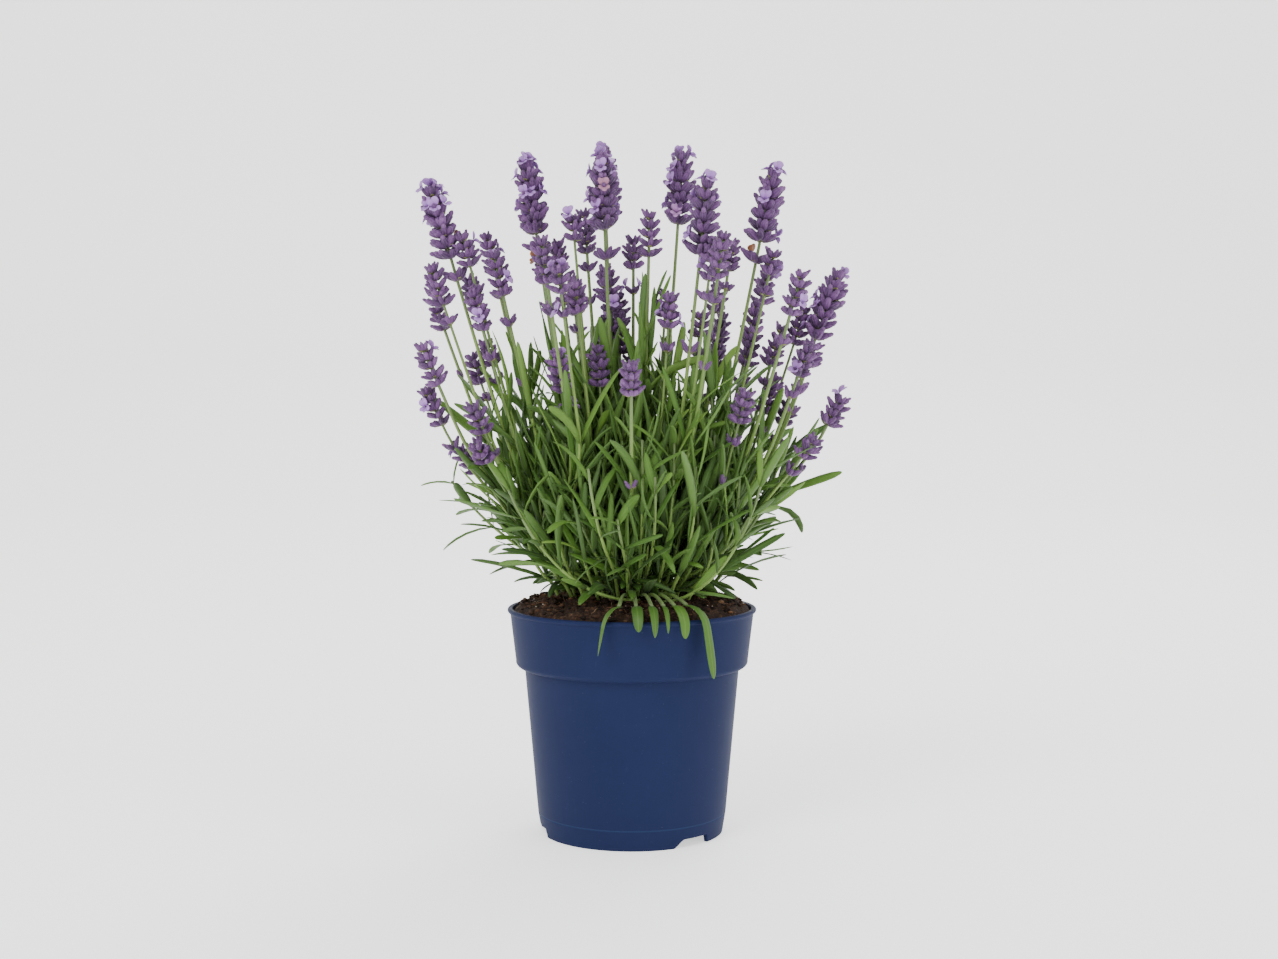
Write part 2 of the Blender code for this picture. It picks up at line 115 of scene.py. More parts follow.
# ---- How many of each small thing ----
CRUMBS = 1300
GRAINS = 110
FIBRES = 120
EXTRA_HEADS = 36
LEAFY_SHOOTS = 76
LOW_SHOOTS = 17
FOOT_LEAVES = 54

# ---- The tuft of leafy shoots: its aims at full spread, and the heights of its shoots ----
TUFT = (0.112, 0.084)
TUFT_TOP = 0.132
TUFT_FALL = 0.072
SHOOT_BOW = 0.010

# ---- The studio: each light's place, size and power, what they face, and the camera ----
LIGHTS = {
    "key": ((-1.1, -1.5, 1.7), 1.1, 34),
    "fill": ((1.7, -1.1, 0.9), 1.2, 16),
    "back": ((0.5, 1.3, 1.6), 1.0, 18),
}
LIGHTS_AIM = (0, 0, 0.18)
CAMERA_PLACE = (0.0037, -0.912, 0.230)
CAMERA_PITCH = math.radians(-2.89)
CAMERA_LENS = 49.3


# ---------------------------------------------------------------- shapes

def unit(vectors):
    """Vectors scaled to length one, along their last axis."""
    return vectors / np.maximum(np.linalg.norm(vectors, axis=-1, keepdims=True), 1e-9)


def square_to(forward, up):
    """Across and through directions for each forward one: through is up made square to forward."""
    through = unit(up - forward * np.sum(up * forward, -1, keepdims=True))
    return np.cross(through, forward), through


def closed_tubes(name, rings, shade, material, node=()):
    """Closed tubes from rings of points, shaped (tube, station, around, xyz).

    Neighbouring rings are joined by quads and the end rings are capped. The UV map is the share
    around and the share along, and shade is one number for each tube.
    """
    tubes, stations, around, _ = rings.shape
    index = np.arange(tubes * stations * around).reshape(tubes, stations, around)
    near, far = index[:, :-1], index[:, 1:]
    quads = np.stack((near, np.roll(near, -1, 2), np.roll(far, -1, 2), far), -1).reshape(-1, 4)
    caps = np.concatenate((index[:, 0, ::-1], index[:, -1]))
    mesh = bpy.data.meshes.new(name)
    mesh.from_pydata(rings.reshape(-1, 3), [], quads.tolist() + caps.tolist())

    u_low = np.broadcast_to(np.arange(around) / around, near.shape)
    v_low = np.broadcast_to((np.arange(stations - 1) / (stations - 1))[:, None], near.shape)
    u_high, v_high = u_low + 1 / around, v_low + 1 / (stations - 1)
    quad_uv = np.stack((u_low, v_low, u_high, v_low, u_high, v_high, u_low, v_high), -1)
    ring_u = np.arange(around) / around
    near_uv = np.stack((ring_u[::-1], np.zeros(around)), -1).ravel()
    far_uv = np.stack((ring_u, np.ones(around)), -1).ravel()
    uv = np.concatenate((quad_uv.ravel(), np.tile(near_uv, tubes), np.tile(far_uv, tubes)))
    mesh.uv_layers.new(name="UVMap").data.foreach_set("uv", uv.astype(np.float32))

    values = np.repeat(np.asarray(shade, np.float32), stations * around)
    mesh.attributes.new("shade", "FLOAT", "POINT").data.foreach_set("value", values)
    return finished(name, mesh, material, node)


def finished(name, mesh, material, node=()):
    """A smooth-shaded piece at the origin, riding on the root and what it replaces."""
    mesh.polygons.foreach_set("use_smooth", np.ones(len(mesh.polygons), bool))
    mesh.materials.append(material)
    piece = bpy.data.objects.new(name, mesh)
    bpy.context.scene.collection.objects.link(piece)
    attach(piece, ROOT)
    if node:
        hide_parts(*node)
    return piece


def blades(base, forward, up, length, width, curl, fold=0.25, stations=7, around=6, thin=0.12,
           shape=(0.30, 0.5, 7.0, 0.55), twist=None, early=1.0):
    """Rings of leaf blades: a lens-shaped section along a midline that bends by curl radians.

    The bend is spread evenly over the early share of the blade, and the rest is straight. The half
    width rises as a power of the share along until the first value of shape, then keeps full until
    it falls away as one minus a power of the share. Stations crowd towards the tip. Fold lifts the
    edges into a V, and twist turns the section evenly along the blade.
    """
    full, rise, fall, round_off = shape
    along = np.sin(np.linspace(0, np.pi / 2, stations))
    wide = np.clip(along / full, 0.10, 1) ** rise * np.clip(1 - along ** fall, 0.04, 1) ** round_off
    early = np.broadcast_to(early, len(base))[:, None]
    bend = (curl[:, None] * np.clip(along / early, 0, 1))[..., None]
    across, through = square_to(forward, up)
    ahead, lift, across = forward[:, None], through[:, None], across[:, None]
    heading = np.cos(bend) * ahead - np.sin(bend) * lift
    steps = (heading[:, 1:] + heading[:, :-1]) / 2 * np.diff(along)[:, None] * length[:, None, None]
    middle = base[:, None] + np.concatenate((np.zeros_like(steps[:, :1]), np.cumsum(steps, axis=1)), 1)
    normal = np.sin(bend) * ahead + np.cos(bend) * lift
    turn = ((np.zeros(len(base)) if twist is None else twist)[:, None] * along)[..., None]
    edge = np.cos(turn) * across + np.sin(turn) * normal
    normal = np.cos(turn) * normal - np.sin(turn) * across
    angle = np.linspace(0, 2 * np.pi, around, endpoint=False)
    half = (width[:, None] * wide / 2)[..., None]
    side = half * np.cos(angle)
    height = half * (thin * 2 * np.sin(angle) + fold * np.abs(np.cos(angle)))
    return middle[:, :, None] + side[..., None] * edge[:, :, None] + height[..., None] * normal[:, :, None]


def rods(paths, radius, around=8, squareness=0.0):
    """Rings of rods along paths shaped (rod, station, xyz): a circle, or a rounded square."""
    forward = unit(np.gradient(paths, axis=1))
    across, through = square_to(forward, np.broadcast_to((0.0, -1.0, 0.0), forward.shape))
    angle = np.linspace(0, 2 * np.pi, around, endpoint=False)
    reach = radius[..., None] * (1 + squareness * np.cos(4 * angle))
    return (paths[:, :, None] + (reach * np.cos(angle))[..., None] * across[:, :, None]
            + (reach * np.sin(angle))[..., None] * through[:, :, None])


def pods(base, forward, length, radius, outline, around=7):
    """Rings of straight pods: each a turned outline of (share along, share of the radius)."""
    outline = np.array(outline)
    paths = base[:, None] + forward[:, None] * (length[:, None] * outline[:, 0])[..., None]
    return rods(paths, radius[:, None] * outline[:, 1], around)


def waves(points, size, seed, count=24):
    """Smooth lumps between about -1 and 1: a sum of sine waves in random directions."""
    rng = np.random.default_rng(seed)
    turn = rng.normal(size=(count, 3)) * (2 * np.pi / size)
    phase = rng.uniform(0, 2 * np.pi, count)
    return np.sin(points @ turn.T + phase).sum(-1) / math.sqrt(count)


def lathe(profile, around):
    """Rings turned from a profile of (radius, height), which runs from the axis round to the axis."""
    profile = np.array(profile)
    angle = -np.linspace(0, 2 * np.pi, around, endpoint=False)
    radius, height = profile[:, :1], np.broadcast_to(profile[:, 1:], (len(profile), around))
    return np.stack((radius * np.cos(angle), radius * np.sin(angle), height), -1)[None]


# ---------------------------------------------------------------- paint

class Number:
    """A number socket of a paint, so that sums on it read as sums and add their Math nodes."""

    def __init__(self, paint, socket):
        self.paint, self.socket = paint, socket

    def join(self, operation, first, second):
        node = self.paint.node("ShaderNodeMath", {"operation": operation}, {0: first, 1: second})
        return Number(self.paint, node.outputs[0])

    def __add__(self, other):
        return self.join("ADD", self, other)

    def __radd__(self, other):
        return self.join("ADD", other, self)

    def __sub__(self, other):
        return self.join("SUBTRACT", self, other)

    def __rsub__(self, other):
        return self.join("SUBTRACT", other, self)

    def __mul__(self, other):
        return self.join("MULTIPLY", self, other)

    def __pow__(self, other):
        return self.join("POWER", self, other)


class Paint:
    """A Principled material. Constants are set on its shader, and links only where a value varies."""

    def __init__(self, name, **constants):
        self.material = bpy.data.materials.new(name)
        self.material.use_nodes = True
        self.tree = self.material.node_tree
        self.shader = self.tree.nodes["Principled BSDF"]
        for socket, value in constants.items():
            self.shader.inputs[socket.replace("_", " ")].default_value = value

    def node(self, kind, settings=None, inputs=None):
        """A node of a type, with its settings first and then the values or links of its sockets."""
        node = self.tree.nodes.new(kind)
        for name, value in (settings or {}).items():
            if name == "stops":
                self.set_stops(node.color_ramp.elements, value)
            else:
                setattr(node, name, value)
        for key, value in (inputs or {}).items():
            self.feed(node.inputs[key], value)
        return node

    def feed(self, socket, value):
        """Sets a socket, or links it."""
        source = value.socket if isinstance(value, Number) else value
        if isinstance(source, bpy.types.NodeSocket):
            self.tree.links.new(source, socket)
        else:
            socket.default_value = source

    def set_stops(self, elements, stops):
        while len(elements) < len(stops):
            elements.new(1)
        for element, (position, colour) in zip(elements, stops):
            element.position = position
            element.color = (*colour, 1)

    def place(self, source="Object"):
        return self.node("ShaderNodeTexCoord").outputs[source]

    def noise(self, size, detail=3.0, roughness=0.55, stretch=(1, 1, 1)):
        """Noise with lumps of a size in metres, stretched along each axis."""
        scaled = self.node("ShaderNodeMapping", None, {"Vector": self.place(), "Scale": stretch})
        inputs = {"Vector": scaled.outputs[0], "Scale": 1 / size, "Detail": detail}
        inputs["Roughness"] = roughness
        return Number(self, self.node("ShaderNodeTexNoise", None, inputs).outputs[0])

    def shade(self):
        return Number(self, self.node("ShaderNodeAttribute", {"attribute_name": "shade"}).outputs["Fac"])

    def uv(self):
        """The share around and the share along a piece."""
        parts = self.node("ShaderNodeSeparateXYZ", None, {0: self.place("UV")})
        return Number(self, parts.outputs[0]), Number(self, parts.outputs[1])

    def between(self, value, low, high):
        """A smooth step of a value, from 0 at low to 1 at high."""
        settings = {"interpolation_type": "SMOOTHSTEP"}
        inputs = {"Value": value, "From Min": low, "From Max": high}
        return Number(self, self.node("ShaderNodeMapRange", settings, inputs).outputs[0])

    def ramp(self, value, *stops):
        return self.node("ShaderNodeValToRGB", {"stops": stops}, {0: value}).outputs[0]

    def mix(self, share, first, second):
        """A mix of two colours."""
        colours = [(*c, 1) if isinstance(c, tuple) else c for c in (first, second)]
        inputs = {0: share, 6: colours[0], 7: colours[1]}
        return self.node("ShaderNodeMix", {"data_type": "RGBA"}, inputs).outputs[2]

    def finish(self, colour, roughness=None, height=None, depth=0.0002, strength=0.5):
        """Links the colour, and the roughness and the bump where they vary."""
        self.feed(self.shader.inputs["Base Color"], colour)
        if roughness is not None:
            self.feed(self.shader.inputs["Roughness"], roughness)
        if height is not None:
            inputs = {"Height": height, "Distance": depth, "Strength": strength}
            bump = self.node("ShaderNodeBump", None, inputs)
            self.feed(self.shader.inputs["Normal"], bump.outputs[0])
        return self.material


def plastic_paint():
    """Satin navy plastic: a moulded grain, faint scuffs, sparse pale specks and a worn crease line."""
    paint = Paint("navy_plastic", IOR=1.40, Specular_IOR_Level=0.06)
    grain = paint.noise(0.0006, 2)
    cloud = paint.noise(0.045, 4)
    scuff = paint.between(paint.noise(0.004, 5, 0.7, (1, 1, 0.25)), 0.62, 0.80)
    specks = paint.between(paint.noise(0.0007, 1), 0.765, 0.80)
    height = Number(paint, paint.node("ShaderNodeSeparateXYZ", None, {0: paint.place()}).outputs[2])
    above = paint.between(height, CREASE_HEIGHT - 0.0006, CREASE_HEIGHT)
    crease = above * (1 - paint.between(height, CREASE_HEIGHT, CREASE_HEIGHT + 0.0006))
    base = paint.mix(cloud, (0.0100, 0.0150, 0.049), (0.0135, 0.0195, 0.060))
    scuffed = paint.mix(scuff * 0.16 + crease * 0.35, base, (0.030, 0.060, 0.135))
    colour = paint.mix(specks * 0.25, scuffed, (0.13, 0.15, 0.20))
    return paint.finish(colour, 0.48 + cloud * 0.10 + scuff * 0.12, grain, 0.00005, 0.35)


def soil_paint():
    """Damp dark compost: near-black crumbs with brown and reddish ones among them."""
    paint = Paint("potting_soil", Roughness=0.95, Specular_IOR_Level=0.2)
    crumbs = paint.noise(0.0016, 5, 0.7)
    patches = paint.noise(0.006, 3)
    colour = paint.ramp(crumbs * 0.7 + patches * 0.3, (0.38, (0.006, 0.0035, 0.0025)),
                        (0.54, (0.034, 0.018, 0.011)), (0.70, (0.150, 0.080, 0.046)))
    return paint.finish(colour, 0.85 + patches * 0.15, crumbs, 0.0012, 0.9)


def chip_paint():
    """Bark crumbs and peat fibres, nearly all black-brown, one shade each, and a few dry tan ones."""
    paint = Paint("bark_chip", Roughness=0.9, Specular_IOR_Level=0.2)
    fibre = paint.noise(0.0006, 4, 0.65, (1, 1, 3))
    colour = paint.ramp(paint.shade() * 0.8 + fibre * 0.2, (0.12, (0.008, 0.005, 0.004)),
                        (0.42, (0.045, 0.022, 0.013)), (0.70, (0.150, 0.070, 0.035)),
                        (1.0, (0.42, 0.28, 0.17)))
    return paint.finish(colour, None, fibre, 0.0004, 0.7)


def wood_paint():
    """The grey-brown woody crown, furrowed along its height."""
    paint = Paint("crown_wood", Roughness=0.85)
    furrow = paint.noise(0.0016, 5, 0.6, (1, 1, 0.25))
    colour = paint.ramp(furrow, (0.3, (0.016, 0.011, 0.006)), (0.7, (0.075, 0.055, 0.028)))
    return paint.finish(colour, None, furrow, 0.0006, 0.8)


def stem_paint():
    """Square bright green stems, greyer and faintly purple towards the flowers."""
    paint = Paint("green_stem", Roughness=0.5, Sheen_Weight=0.1)
    _, along = paint.uv()
    ribs = paint.noise(0.0009, 3, 0.5, (1, 1, 0.12))
    green = paint.mix(paint.shade() * 0.7 + ribs * 0.3, (0.090, 0.175, 0.022), (0.215, 0.340, 0.060))
    upper = paint.between(along, 0.45, 1.0)
    colour = paint.mix(upper * 0.75, green, (0.085, 0.125, 0.045))
    return paint.finish(colour, 0.42 + ribs * 0.2, ribs, 0.0001, 0.4)


def leaf_paint():
    """Narrow downy leaves: one green each, paler on higher and outer leaves as painted light, a pale
    midrib, paler undersides and dry tips on a few.
    """
    paint = Paint("lavender_leaf", Roughness=0.5, Sheen_Weight=0.03, Specular_IOR_Level=0.3)
    around, along = paint.uv()
    shade = paint.shade()
    veins = paint.noise(0.0012, 4, 0.6)
    green = paint.ramp(shade * 0.85 + veins * 0.15, (0.08, (0.020, 0.053, 0.007)),
                       (0.45, (0.047, 0.118, 0.011)), (0.75, (0.088, 0.188, 0.019)),
                       (1.0, (0.160, 0.285, 0.040)))
    offset = around - 0.25
    rib = 1 - paint.between((offset * offset) ** 0.5, 0.008, 0.035)
    ribbed = paint.mix(rib * 0.22, green, (0.135, 0.245, 0.050))
    under = paint.between(around, 0.50, 0.56)
    pale = paint.mix(under * 0.28, ribbed, (0.115, 0.190, 0.060))
    dry = paint.between(along, 0.95, 1.0) * paint.between(shade, 0.86, 0.95)
    colour = paint.mix(dry * 0.6, pale, (0.28, 0.20, 0.08))
    return paint.finish(colour, 0.42 + veins * 0.2, veins, 0.00015, 0.4)


def calyx_paint():
    """Downy ribbed calyces: green at the foot, red-violet above, with a painted highlight along each rib.
    """
    paint = Paint("violet_calyx", Roughness=0.7, Sheen_Weight=0.12)
    around, along = paint.uv()
    shade = paint.shade()
    down = paint.noise(0.0005, 2)
    violet = paint.ramp(shade * 0.8 + down * 0.2, (0.08, (0.030, 0.007, 0.046)),
                        (0.50, (0.078, 0.021, 0.108)), (0.95, (0.190, 0.075, 0.240)))
    foot = 1 - paint.between(along, 0.02, 0.34)
    greened = paint.mix(foot * 0.8, violet, (0.190, 0.190, 0.070))
    rib = paint.node("ShaderNodeMath", {"operation": "SINE"}, {0: around * (2 * math.pi * 7)})
    ridge_and_highlight = Number(paint, rib.outputs[0]) * 0.5 + 0.5
    # painted highlight: each rib's crest is mixed paler, as light on a ridge would make it; the same
    # stripes raise the ribs in the bump
    colour = paint.mix(ridge_and_highlight * 0.18, greened, (0.27, 0.15, 0.33))
    return paint.finish(colour, None, ridge_and_highlight * 0.7 + down * 0.3, 0.00018, 0.6)


def petal_paint():
    """Open flowers: lilac, paler towards the edge, with a withered orange-brown one here and there."""
    paint = Paint("lilac_petal", Roughness=0.6, Sheen_Weight=0.2)
    _, along = paint.uv()
    shade = paint.shade()
    veins = paint.noise(0.0006, 3)
    lilac = paint.mix(along * 0.6 + veins * 0.3, (0.250, 0.090, 0.390), (0.480, 0.270, 0.640))
    withered = paint.between(shade, 0.955, 0.97)
    colour = paint.mix(withered, lilac, (0.330, 0.130, 0.050))
    return paint.finish(colour, None, veins, 0.0001, 0.3)


def bract_paint():
    """The small papery bracts under each whorl: olive, browning to the tip."""
    paint = Paint("dry_bract", Roughness=0.8)
    _, along = paint.uv()
    flecks = paint.noise(0.0008, 3)
    green = paint.mix(flecks, (0.150, 0.180, 0.045), (0.290, 0.300, 0.105))
    colour = paint.mix(paint.between(along, 0.4, 1.0) * 0.6, green, (0.190, 0.100, 0.110))
    return paint.finish(colour, None, flecks, 0.0001, 0.3)


def speck_paint():
    """Pale mineral grains in the compost, stained by it."""
    paint = Paint("white_grain", Roughness=0.9)
    stain = paint.noise(0.0008, 4)
    colour = paint.mix(stain, (0.20, 0.13, 0.09), (0.62, 0.56, 0.48))
    return paint.finish(colour, None, stain, 0.0003, 0.6)


# ---------------------------------------------------------------- pot and soil

def notch_lift(angle):
    """Height of the foot's edge at each angle: three notches, with a smooth slope at their left end."""
    period = 2 * np.pi / NOTCHES
    offset = (angle - NOTCH_ANGLE + period / 2) % period - period / 2
    left = np.clip((offset + NOTCH_HALF + NOTCH_SLOPE_START) / NOTCH_SLOPE, 0, 1)
    right = np.clip((NOTCH_HALF - offset) / NOTCH_END, 0, 1)
    return NOTCH_HEIGHT * left * left * (3 - 2 * left) * right


def make_pot(material):
    """The pot: a turned wall whose foot lifts into three notches, with drain holes in its floor."""
    lip = RIM_RADIUS - BEAD_DEPTH
    collar = lip - COLLAR_TAPER
    body = collar - STEP_WIDTH
    low = POT_HEIGHT - COLLAR_HEIGHT
    body_top = low - STEP_DROP
    inner_low = CREASE_RADIUS - WALL
    slope = (body - CREASE_RADIUS) / (body_top - CREASE_HEIGHT)
    floor_top = FLOOR_HEIGHT + WALL
    bend = np.linspace(0, np.pi, 11)
    bead = np.stack((RIM_RADIUS - BEAD / 2 + BEAD / 2 * np.sin(bend),
                     POT_HEIGHT - BEAD / 2 + BEAD / 2 * np.cos(bend)), -1)
    turn = np.linspace(0, np.pi / 2, 9)
    step = np.stack((body + STEP_WIDTH * np.cos(turn), body_top + STEP_DROP * (1 - np.sin(turn))), -1)
    profile = [(0, floor_top), (0.02, floor_top), (0.04, floor_top)]
    profile += [(inner_low + slope * (floor_top - CREASE_HEIGHT), floor_top), (body - WALL, body_top)]
    profile += [(collar - WALL, low + WALL), (lip - WALL, POT_HEIGHT - 0.0003)]
    profile += bead.tolist()
    profile += [(lip, POT_HEIGHT - BEAD - 0.0004), (lip - 0.0001, POT_HEIGHT - BEAD - 0.0012)]
    profile += [(collar, low + 0.0008), (collar, low)] + step[1:].tolist()
    profile += [(body - 0.0002, body_top - 0.0008)]
    profile += [(CREASE_RADIUS + 0.0001, CREASE_HEIGHT + 0.0008), (CREASE_RADIUS, CREASE_HEIGHT + 0.0003)]
    profile += [(CREASE_RADIUS - CREASE_DEPTH, CREASE_HEIGHT), (CREASE_RADIUS, CREASE_HEIGHT - 0.0003)]
    profile += [(CREASE_RADIUS - 0.0001, CREASE_HEIGHT - 0.0008)]
    foot = np.linspace(0.88, 0, 8)[:, None]
    high_end = np.array((CREASE_RADIUS - 0.0001, CREASE_HEIGHT - 0.0008))
    low_end = np.array((FOOT_RADIUS, POT_LOW[2]))
    profile += (low_end + (high_end - low_end) * foot).tolist()
    inside = FOOT_RADIUS - FOOT_RING
    profile += [(inside, 0), (inside, 0.002), (inside, 0.0042), (inside, FLOOR_HEIGHT)]
    profile += [(0.04, FLOOR_HEIGHT), (0.02, FLOOR_HEIGHT), (0, FLOOR_HEIGHT)]
    rings = lathe(profile, 480)
    outward = np.hypot(rings[..., 0], rings[..., 1])
    lift = notch_lift(np.arctan2(rings[..., 1], rings[..., 0]))
    lifted = np.where(outward > inside - 0.0005, np.maximum(rings[..., 2], lift), rings[..., 2])
    rings[..., 2] = np.where(rings[..., 2] < FLOOR_HEIGHT, lifted, rings[..., 2])
    pot = closed_tubes("nursery_pot", rings, [0.5], material, ("pot",))
    close_poles(pot)
    cut_drains(pot)
    sharpen(pot, 40)
    return pot


def close_poles(piece):
    """Welds the rings that lie on the axis to single points, and drops the caps that this empties."""
    shape = bmesh.new()
    shape.from_mesh(piece.data)
    bmesh.ops.remove_doubles(shape, verts=shape.verts, dist=WELD)
    bmesh.ops.dissolve_degenerate(shape, dist=WELD, edges=shape.edges)
    shape.to_mesh(piece.data)
    shape.free()


def cut_drains(pot):
    """Cuts the round drain holes through the pot's raised floor."""
    turn = (np.arange(DRAINS) + 0.5) * 2 * np.pi / DRAINS
    ends = np.array((FLOOR_HEIGHT - 0.002, FLOOR_HEIGHT + 0.004))
    paths = np.empty((DRAINS, 2, 3))
    paths[..., 0] = (DRAIN_RING * np.cos(turn))[:, None]
    paths[..., 1] = (DRAIN_RING * np.sin(turn))[:, None]
    paths[..., 2] = ends
    rings = rods(paths, np.full((DRAINS, 2), DRAIN_RADIUS), 32)
    cutter = closed_tubes("drain_cutter", rings, np.zeros(DRAINS), pot.data.materials[0])
    boolean = pot.modifiers.new("Drains", "BOOLEAN")
    boolean.operation = "DIFFERENCE"
    boolean.object = cutter
    evaluated = pot.evaluated_get(bpy.context.evaluated_depsgraph_get())
    pot.data = bpy.data.meshes.new_from_object(evaluated)
    pot.modifiers.clear()
    bpy.data.objects.remove(cutter)


def sharpen(piece, degrees):
    """Keeps edges crisp where faces meet at more than an angle."""
    piece.data.set_sharp_from_angle(angle=math.radians(degrees))


def soil_height(flat):
    """Height of the compost at points across it: a full mound with crumbs and clods."""
    outward = np.clip(np.linalg.norm(flat, axis=-1) / SOIL_RADIUS, 0, 1)
    points = np.concatenate((flat, np.zeros(flat.shape[:-1] + (1,))), -1)
    clods = 0.0010 * waves(points, 0.017, 3) + 0.0007 * waves(points, 0.006, 4)
    crumbs = 0.00045 * waves(points, 0.0028, 5)
    calm = 1 - outward ** 10
    return SOIL_EDGE - 0.001 + SOIL_CROWNING * np.sqrt(1 - outward ** 4) + (clods + crumbs) * calm


def make_soil(material):
    """The compost: a lumpy mound, closed down inside the wall and across the bottom."""
    steps = 110
    collar = RIM_RADIUS - BEAD_DEPTH - COLLAR_TAPER - WALL - SOIL_GAP
    low = POT_HEIGHT - COLLAR_HEIGHT + WALL + SOIL_GAP
    foot = CREASE_RADIUS - WALL - 2 * SOIL_GAP
    floor = FLOOR_HEIGHT + WALL + SOIL_GAP
    outward = np.concatenate((SOIL_RADIUS * np.sin(np.linspace(0, np.pi / 2, steps)),
                              [collar, collar - STEP_WIDTH, foot, 0]))
    height = np.concatenate((np.full(steps, SOIL_EDGE), [low, low - STEP_DROP - WALL, floor, floor]))
    rings = lathe(np.stack((outward, height), -1), 320)
    rings[0, :steps, :, 2] = soil_height(rings[0, :steps, :, :2])
    soil = closed_tubes("compost", rings, [0.5], material, ("potting_soil",))
    close_poles(soil)
    return soil


def scatter(count, reach):
    """Points spread evenly over the compost, standing on it."""
    outward = reach * np.sqrt(RNG.uniform(0, 1, count))
    turn = RNG.uniform(0, 2 * np.pi, count)
    flat = np.stack((outward * np.cos(turn), outward * np.sin(turn)), -1)
    return np.concatenate((flat, soil_height(flat)[:, None]), -1)


def lumps(points, size, flatness, around=6):
    """Rings of irregular chips: short pods with each ring's corners pulled in or out at random."""
    count = len(points)
    heading = RNG.uniform(0, 2 * np.pi, count)
    forward = unit(np.stack((np.cos(heading), np.sin(heading), RNG.uniform(-0.25, 0.25, count)), -1))
    outline = ((0, 0.45), (0.25, 0.95), (0.7, 1.0), (1.0, 0.4))
    rings = pods(points - forward * size[:, None] / 2, forward, size, size * 0.36, outline, around)
    middle = rings.mean((1, 2), keepdims=True)
    rings = middle + (rings - middle) * RNG.uniform(0.72, 1.25, rings.shape[:3] + (1,))
    rings[..., 2] = middle[..., 2] + (rings[..., 2] - middle[..., 2]) * flatness
    return rings


def make_litter(chip, grain):
    """Bark crumbs, pale grains and loose fibres lying on the compost."""
    points = scatter(CRUMBS, SOIL_RADIUS - 0.0015)
    size = RNG.uniform(0.0011, 0.0032, CRUMBS) * RNG.choice((0.7, 1.0, 1.5), CRUMBS, p=(0.4, 0.5, 0.1))
    rings = lumps(points + (0, 0, 0.0003), size, 0.75)
    closed_tubes("bark_crumbs", rings, RNG.beta(1.3, 3.4, CRUMBS), chip)
    points = scatter(GRAINS, SOIL_RADIUS - 0.003)
    rings = lumps(points + (0, 0, 0.0006), RNG.uniform(0.0006, 0.0013, GRAINS), 0.9, 5)
    closed_tubes("pale_grains", rings, np.full(GRAINS, 0.9), grain)
    starts = scatter(FIBRES, SOIL_RADIUS - 0.008)
    along = np.linspace(0, 1, 6)[:, None]
    heading = RNG.uniform(0, 2 * np.pi, FIBRES)
    run = RNG.uniform(0.003, 0.010, (FIBRES, 1, 1))
    ahead = np.stack((np.cos(heading), np.sin(heading)), -1)[:, None]
    aside = np.stack((-np.sin(heading), np.cos(heading)), -1)[:, None]
    bow = RNG.uniform(-0.7, 0.7, (FIBRES, 1, 1))
    flat = starts[:, None, :2] + run * (along * ahead + bow * along * (1 - along) * aside)
    paths = np.concatenate((flat, soil_height(flat)[..., None] + 0.0006), -1)
    rings = rods(paths, np.full((FIBRES, 6), 0.00015), 5)
    closed_tubes("peat_fibres", rings, RNG.uniform(0.5, 0.95, FIBRES), chip)


def make_crown(name, material):
    """A crown: a furrowed woody stub, drawn in under its top and rounded over."""
    low, high = (np.array(corner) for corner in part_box(name))
    centre, radius = (low + high) / 2, (high[0] - low[0]) / 2
    profile = [(0, high[2]), (0.30, high[2] - 0.0003), (0.50, high[2] - 0.0012), (0.62, high[2] - 0.0026)]
    profile += [(0.68, high[2] - 0.0045), (0.72, low[2] + 0.004), (0.6, low[2]), (0, low[2])]
    rings = lathe([(share * radius, height) for share, height in profile], 40)
    lump = 1 + 0.13 * waves(rings * (1, 1, 0.3), 0.011, 21)[..., None]
    rings[..., :2] *= lump
    rings += (centre[0], centre[1], 0)
    piece = closed_tubes(f"{name}_wood", rings, [0.5], material, (name,))
    close_poles(piece)


# ---------------------------------------------------------------- stems and heads

def spread(height):
    """Share of the full width that the flow of stems has reached at a height."""
    rise = np.clip((height - FOOT_HEIGHT) / (POT_HEIGHT + REACH_ABOVE_RIM - FOOT_HEIGHT), 0, None)
    return BASE_SHARE + (1 - BASE_SHARE) * rise ** SPREAD_POWER


def smooth(share):
    """A smooth step of a share, held between 0 and 1."""
    share = np.clip(share, 0, 1)
    return share * share * (3 - 2 * share)


def gather(height, distance):
    """How far a stem has left the middle of its crown: its foot's share low down, 1 higher up."""
    stretch = BASE_SHARE * np.maximum(distance, 1e-4)
    foot = CROWN_LEVEL * np.tanh(GATHERED * stretch / CROWN_LEVEL) / stretch
    return foot + (1 - foot) * smooth((height - FOOT_HEIGHT) / GATHER_HEIGHT)


def crown_aims():
    """Each crown's aim at full spread."""
    corners = np.array([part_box(name) for name in CROWNS])
    return corners.mean(1)[:, :2] / BASE_SHARE


def stem_path(aim, lead_aim, end, start, count=16):
    """Points up a stem, which leaves its lead at the fork and follows the flow to its end."""
    aims = crown_aims()
    middle = aims[np.argmin(np.linalg.norm(aims - lead_aim, axis=1))]
    heights = np.linspace(start, end, count)
    fork = smooth((heights - POT_HEIGHT - FORK_HEIGHT) / FORK_LENGTH)[:, None]
    mixed = lead_aim + (aim - lead_aim) * fork
    left = gather(heights, np.linalg.norm(mixed - middle, axis=1))[:, None]
    flat = spread(heights)[:, None] * (middle + (mixed - middle) * left)
    return np.column_stack((flat, heights))


def headed_path(head, start):
    """A stem's path from a height, carried on inside its head for nine tenths of it."""
    path = stem_path(head["aim"], head["lead_aim"], head["foot"][2], start)
    return np.concatenate((path, [head["foot"] + head["axis"] * head["length"] * 0.9]))


